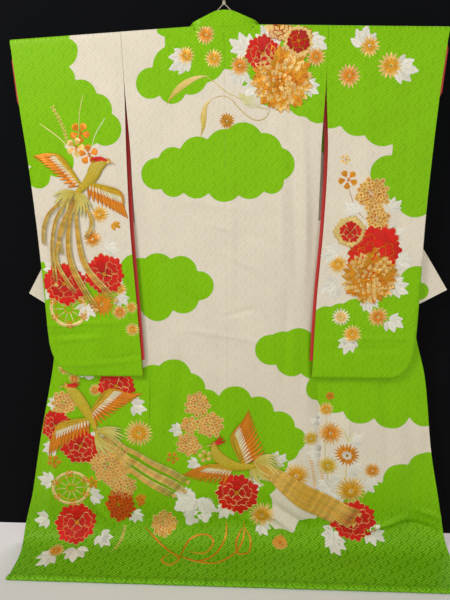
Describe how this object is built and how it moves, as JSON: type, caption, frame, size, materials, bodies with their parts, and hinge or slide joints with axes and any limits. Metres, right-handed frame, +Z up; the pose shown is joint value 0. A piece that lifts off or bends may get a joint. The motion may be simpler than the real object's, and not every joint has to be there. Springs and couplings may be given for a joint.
{
  "type": "uchikake wedding kimono on a kimono hanger",
  "caption": "Long-sleeved padded-hem wedding over-kimono, spread open on a two-armed hanger with its back to the front and its hem lying forward on the floor.",
  "frame": {"origin": "top of the hanger's cord loop, where it hangs on a hook", "axes": "+X along the shoulders toward the wearer's right sleeve, +Y back toward the wall, +Z up; the garment's back faces -Y"},
  "size_m": [1.511, 0.2499, 1.831],
  "materials": {
    "figured_satin": "green and cream figured silk satin with couched gold, red and white embroidery, soft sheen",
    "red_lining": "plain red silk, semi-matte",
    "lacquered_wood": "dark lacquered wood",
    "joint_metal": "plain drawn steel tube",
    "cotton_cord": "twisted undyed cotton"
  },
  "bodies": {
    "root": {"body_left": "figured_satin", "body_right": "figured_satin", "okumi_left": "figured_satin", "okumi_right": "figured_satin", "collar": "figured_satin", "sleeve_left": "figured_satin", "sleeve_right": "figured_satin", "sleeve_lining_left": "red_lining", "sleeve_lining_right": "red_lining", "hem_roll": "figured_satin", "hanger_arm_left": "lacquered_wood", "hanger_arm_right": "lacquered_wood", "hanger_joint": "joint_metal", "hanger_cord_left": "cotton_cord", "hanger_cord_right": "cotton_cord", "cord_knot": "cotton_cord", "hanger_loop": "cotton_cord"}
  },
  "joints": []
}
